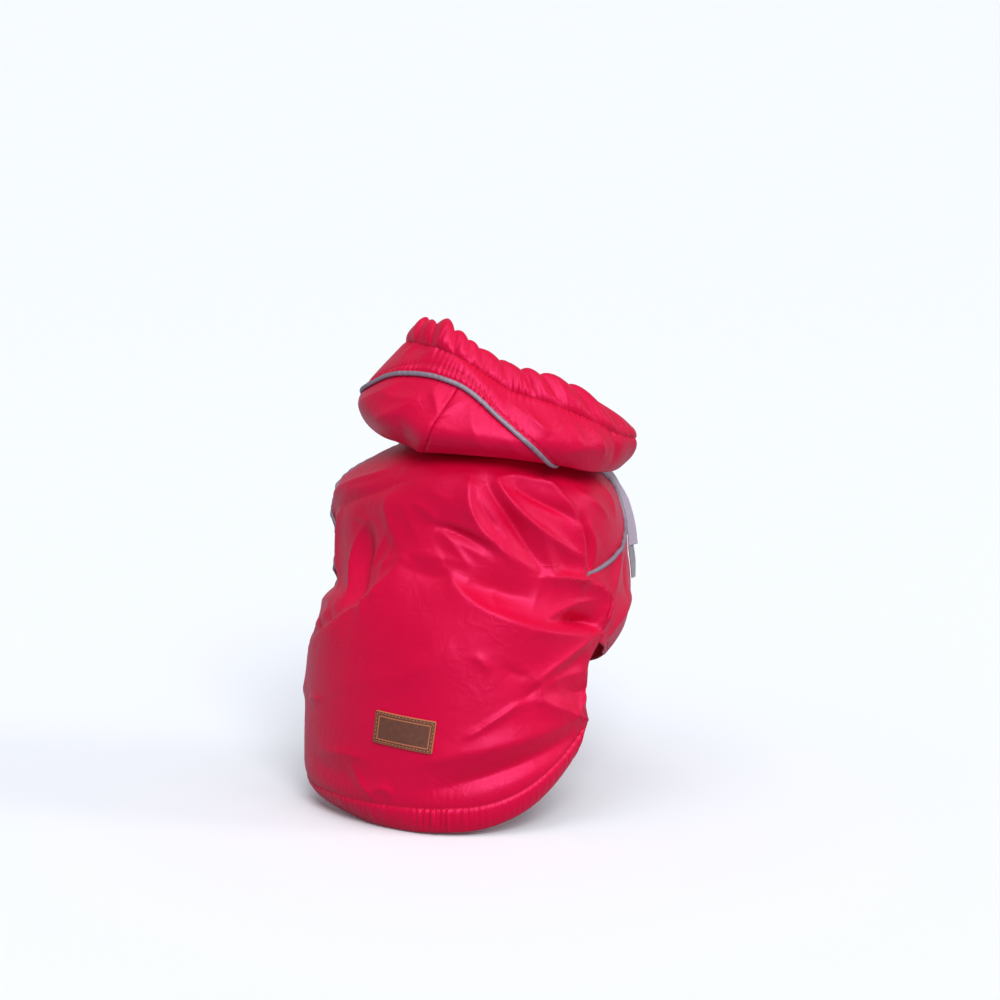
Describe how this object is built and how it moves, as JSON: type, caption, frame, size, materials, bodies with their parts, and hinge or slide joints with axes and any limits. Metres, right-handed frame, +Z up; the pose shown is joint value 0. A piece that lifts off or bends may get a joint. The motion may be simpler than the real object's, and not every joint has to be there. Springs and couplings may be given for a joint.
{
  "type": "hooded dog raincoat",
  "caption": "Hooded nylon raincoat for a small dog, as worn sitting: hood lying down round the neck, gathered hem, grey piping and a plain leather patch.",
  "frame": {"origin": "on the coat's middle plane and level with its neckline, where the wearer's neck holds it", "axes": "+Z up along the sitting wearer's neck, -Y towards the chest, +Y towards the back, +X towards the wearer's left"},
  "size_m": [0.2219, 0.2391, 0.3332],
  "materials": {
    "red_nylon": "satin",
    "grey_piping": "satin",
    "lilac_ribbon": "satin",
    "brown_leather": "satin"
  },
  "bodies": {
    "root": {"back_panel": "red_nylon", "hem_casing": "red_nylon", "front_panel_left": "red_nylon", "front_panel_right": "red_nylon", "armhole_binding_left": "red_nylon", "armhole_binding_right": "red_nylon", "shoulder_piping_left": "grey_piping", "shoulder_piping_right": "grey_piping", "hood_crown_left": "red_nylon", "hood_crown_right": "red_nylon", "hood_front_band": "red_nylon", "hood_rim_casing": "red_nylon", "hood_piping": "grey_piping", "chest_ribbon": "lilac_ribbon", "ribbon_tab": "grey_piping", "label_patch": "brown_leather"}
  },
  "joints": []
}
